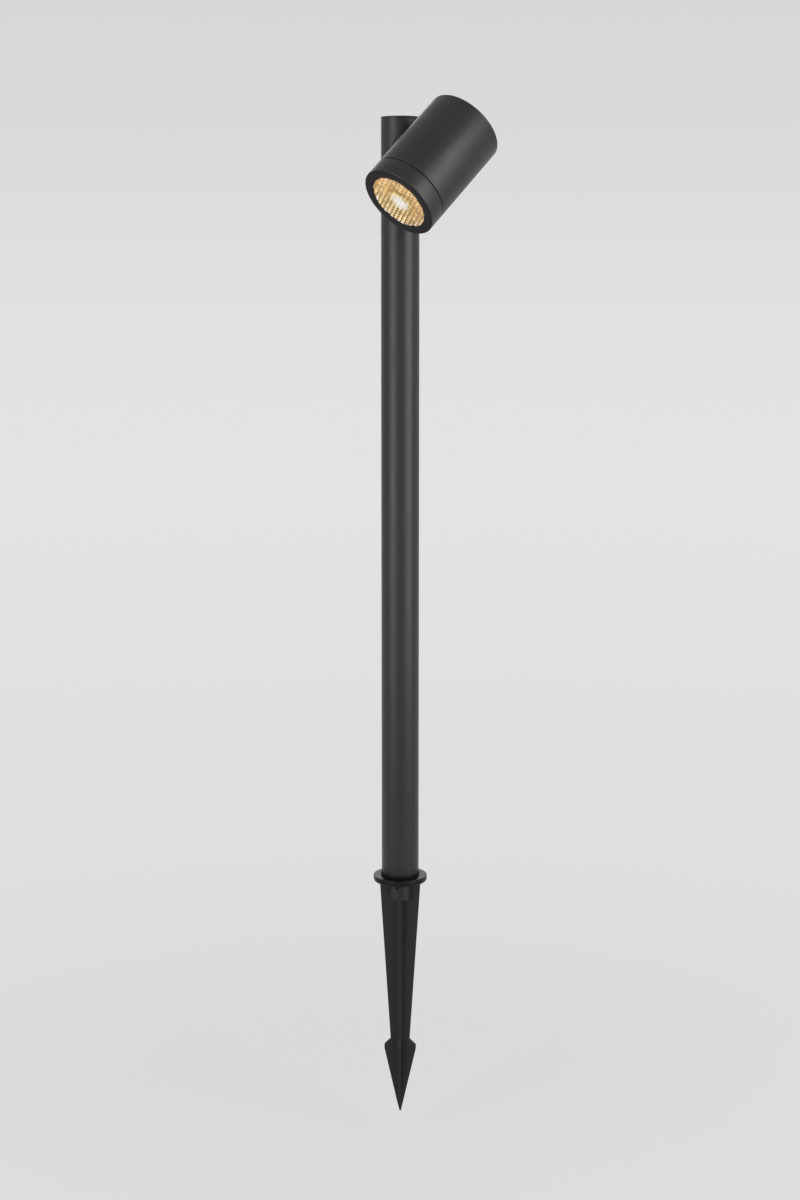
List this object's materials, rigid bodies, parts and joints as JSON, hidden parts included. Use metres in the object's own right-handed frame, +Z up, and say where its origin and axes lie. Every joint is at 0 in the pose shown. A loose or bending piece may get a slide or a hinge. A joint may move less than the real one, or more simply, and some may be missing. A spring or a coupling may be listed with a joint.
{
  "type": "garden post light",
  "caption": "Outdoor spotlight with a tilting cylinder head at the side of a round post, on a base flange with a ground spike.",
  "frame": {"origin": "on the post's axis at the flange's underside, which rests on the ground", "axes": "+Z up along the post, the beam leaves towards -Y at rest, the head is on the +X side and tilts about an axis along X"},
  "size_m": [0.1117, 0.1037, 0.8199],
  "materials": {
    "powder_coat": "satin fine powder coat, near black",
    "spike_plastic": "moulded, satin",
    "black_rubber": "matte",
    "black_nylon": "moulded, matte",
    "silicone": "translucent, satin",
    "steel": "stainless, satin",
    "black_steel": "blackened, satin",
    "bare_aluminium": "machined",
    "mirror_metal": "polished spun aluminium",
    "brass": "machined",
    "lens": "faceted clear optic lit warm from behind",
    "phosphor": "yellow chip coating",
    "white_board": "white solder mask",
    "green_board": "green solder mask",
    "red_lead": "insulated wire",
    "brown_lead": "insulated wire"
  },
  "bodies": {
    "spike": {"ground_spike": "spike_plastic", "spike_lock_screw": "black_steel"},
    "post": {"base_flange": "powder_coat", "base_gasket": "black_rubber", "base_screws": "black_steel", "post_tube": "powder_coat", "cable_grommet": "black_rubber", "post_cap": "powder_coat", "cap_ring": "black_rubber", "pivot_saddle": "powder_coat", "pivot_seal": "black_rubber", "friction_washer": "black_nylon", "pivot_pad": "bare_aluminium"},
    "head": {"head_housing": "powder_coat", "front_ring": "powder_coat", "ring_seal": "black_rubber", "front_lens": "lens", "lens_gasket": "silicone", "reflector": "mirror_metal", "led_chip": "phosphor", "led_board": "white_board", "board_screws": "steel", "heat_sink": "bare_aluminium", "driver_case": "black_nylon", "driver_board": "green_board", "driver_screws": "steel", "lamp_leads": "red_lead", "supply_leads": "brown_lead", "pivot_tube": "brass", "pivot_nut": "brass"}
  },
  "joints": [
    {"name": "post_pan", "type": "hinge", "parent": "spike", "child": "post", "pos_m": [0, 0, 0], "axis": [0, 0, 1], "continuous": true},
    {"name": "head_tilt", "type": "hinge", "parent": "post", "child": "head", "pos_m": [0, 0, 0.586], "axis": [-1, 0, 0], "range_deg": [-48, 132]}
  ]
}
